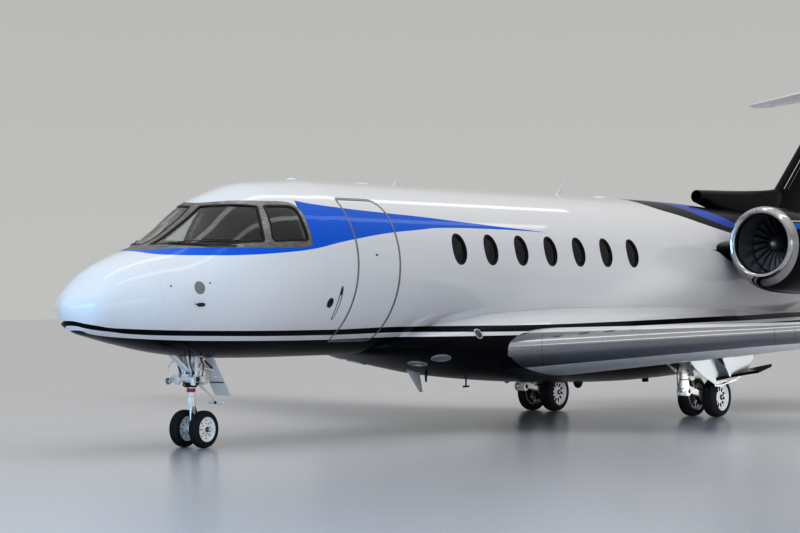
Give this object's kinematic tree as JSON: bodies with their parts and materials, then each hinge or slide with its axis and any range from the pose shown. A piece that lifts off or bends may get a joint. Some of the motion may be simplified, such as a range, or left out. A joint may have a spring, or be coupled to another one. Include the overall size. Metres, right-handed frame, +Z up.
{
  "type": "twin-engine business jet",
  "caption": "Low-wing business jet with rear-mounted engines and a cruciform tail, parked on tricycle gear with twin wheels; its door, wheels, fans and control surfaces move.",
  "frame": {"origin": "on the ground under the aeroplane, on its centre plane, midway between nose tip and tail", "axes": "+X aft along the fuselage, +Y to starboard, +Z up"},
  "size_m": [21.1, 18.8, 5.97],
  "materials": {
    "white_paint": "glossy white two-coat aircraft paint",
    "black_paint": "gloss black paint",
    "radome_paint": "gloss white paint over glass-fibre",
    "wing_paint": "pale grey metallic paint, satin",
    "polished_metal": "polished bare metal with a soft brushed grain",
    "door_grey": "satin grey paint",
    "gear_paint": "semi-gloss off-white enamel",
    "window_glass": "clear curved transparency, dark from outside",
    "tyre_rubber": "matt black tyre rubber on a painted light alloy hub",
    "seat_leather": "soft semi-aniline leather",
    "cabin_trim": "dark matt trim and carpet",
    "engine_metal": "satin titanium and steel",
    "fan_metal": "satin titanium"
  },
  "bodies": {
    "airframe": {"radome": "radome_paint", "cockpit_section": "white_paint", "forward_cabin_section": "white_paint", "cabin_section": "white_paint", "tail_section": "white_paint", "belly_fairing": "black_paint", "cabin_floor": "cabin_trim", "instrument_panel": "cabin_trim", "cockpit_seats": "seat_leather", "vertical_fin": "black_paint", "dorsal_inlet": "black_paint", "nose_gear_leg": "gear_paint", "nose_gear_door": "gear_paint", "port_windshield": "window_glass", "port_side_window": "window_glass", "port_cabin_windows": "window_glass", "port_cabin_seats": "seat_leather", "port_wing": "wing_paint", "port_wing_leading_edge": "polished_metal", "port_stabiliser": "wing_paint", "port_nacelle": "black_paint", "port_intake_lip": "polished_metal", "port_engine_core": "engine_metal", "port_pylon": "black_paint", "port_main_gear_leg": "gear_paint", "port_trailing_arm": "gear_paint", "port_leg_door": "door_grey", "starboard_windshield": "window_glass", "starboard_side_window": "window_glass", "starboard_cabin_windows": "window_glass", "starboard_cabin_seats": "seat_leather", "starboard_wing": "wing_paint", "starboard_wing_leading_edge": "polished_metal", "starboard_stabiliser": "wing_paint", "starboard_nacelle": "black_paint", "starboard_intake_lip": "polished_metal", "starboard_engine_core": "engine_metal", "starboard_pylon": "black_paint", "starboard_main_gear_leg": "gear_paint", "starboard_trailing_arm": "gear_paint", "starboard_leg_door": "door_grey"},
    "nose_gear_steering": {"nose_gear_fork": "gear_paint"},
    "nose_wheels": {"port_nose_wheel": "tyre_rubber", "starboard_nose_wheel": "tyre_rubber"},
    "port_main_wheels": {"port_inner_main_wheel": "tyre_rubber", "port_outer_main_wheel": "tyre_rubber"},
    "starboard_main_wheels": {"starboard_inner_main_wheel": "tyre_rubber", "starboard_outer_main_wheel": "tyre_rubber"},
    "port_fan": {"port_fan": "fan_metal"},
    "starboard_fan": {"starboard_fan": "fan_metal"},
    "entry_door": {"entry_door": "white_paint"},
    "rudder": {"rudder": "black_paint"},
    "starboard_elevator": {"starboard_elevator": "wing_paint"},
    "port_elevator": {"port_elevator": "wing_paint"},
    "starboard_aileron": {"starboard_aileron": "wing_paint"},
    "port_aileron": {"port_aileron": "wing_paint"},
    "starboard_flap": {"starboard_flap": "wing_paint"},
    "port_flap": {"port_flap": "wing_paint"}
  },
  "joints": [
    {"name": "nose_steering", "type": "hinge", "parent": "airframe", "child": "nose_gear_steering", "pos_m": [-8.466, 0, 0.5], "axis": [0, 0, 1], "range_deg": [-60, 60]},
    {"name": "nose_wheel_spin", "type": "hinge", "parent": "nose_gear_steering", "child": "nose_wheels", "pos_m": [-8.416, 0, 0.221], "axis": [0, 1, 0], "continuous": true},
    {"name": "port_main_wheel_spin", "type": "hinge", "parent": "airframe", "child": "port_main_wheels", "pos_m": [1.175, -1.4175, 0.291], "axis": [0, 1, 0], "continuous": true},
    {"name": "starboard_main_wheel_spin", "type": "hinge", "parent": "airframe", "child": "starboard_main_wheels", "pos_m": [1.175, 1.4175, 0.291], "axis": [0, 1, 0], "continuous": true},
    {"name": "port_fan_spin", "type": "hinge", "parent": "airframe", "child": "port_fan", "pos_m": [2.93, -1.718, 2.56], "axis": [1, 0, 0], "continuous": true},
    {"name": "starboard_fan_spin", "type": "hinge", "parent": "airframe", "child": "starboard_fan", "pos_m": [2.93, 1.718, 2.56], "axis": [1, 0, 0], "continuous": true},
    {"name": "entry_door_hinge", "type": "hinge", "parent": "airframe", "child": "entry_door", "pos_m": [-6.265, -0.65, 1.25], "axis": [1, 0, 0], "range_deg": [0, 122]},
    {"name": "rudder_hinge", "type": "hinge", "parent": "airframe", "child": "rudder", "pos_m": [8.38721, 0, 3.74], "axis": [0.5787, 0, 0.8156], "range_deg": [-25, 25]},
    {"name": "starboard_elevator_hinge", "type": "hinge", "parent": "airframe", "child": "starboard_elevator", "pos_m": [9.72995, 0.4, 5.44209], "axis": [0.2711, 0.9609, -0.0558], "range_deg": [-20, 15]},
    {"name": "port_elevator_hinge", "type": "hinge", "parent": "airframe", "child": "port_elevator", "pos_m": [9.72995, -0.4, 5.44209], "axis": [-0.2711, 0.9609, 0.0558], "range_deg": [-20, 15]},
    {"name": "starboard_aileron_hinge", "type": "hinge", "parent": "airframe", "child": "starboard_aileron", "pos_m": [1.20554, 6.4, 1.4146], "axis": [0.3059, 0.949, 0.0764], "range_deg": [-20, 20]},
    {"name": "port_aileron_hinge", "type": "hinge", "parent": "airframe", "child": "port_aileron", "pos_m": [1.20554, -6.4, 1.4146], "axis": [-0.3059, 0.949, -0.0764], "range_deg": [-20, 20]},
    {"name": "starboard_flap_hinge", "type": "hinge", "parent": "airframe", "child": "starboard_flap", "pos_m": [0.2592, 2.8, 1.11649], "axis": [0.2494, 0.9651, 0.0801], "range_deg": [0, 35]},
    {"name": "port_flap_hinge", "type": "hinge", "parent": "airframe", "child": "port_flap", "pos_m": [0.2592, -2.8, 1.11649], "axis": [-0.2494, 0.9651, -0.0801], "range_deg": [0, 35]}
  ],
  "couplings": [
    {"joint": "port_elevator_hinge", "follows": "starboard_elevator_hinge", "ratio": 1},
    {"joint": "port_aileron_hinge", "follows": "starboard_aileron_hinge", "ratio": -1},
    {"joint": "port_flap_hinge", "follows": "starboard_flap_hinge", "ratio": 1}
  ]
}
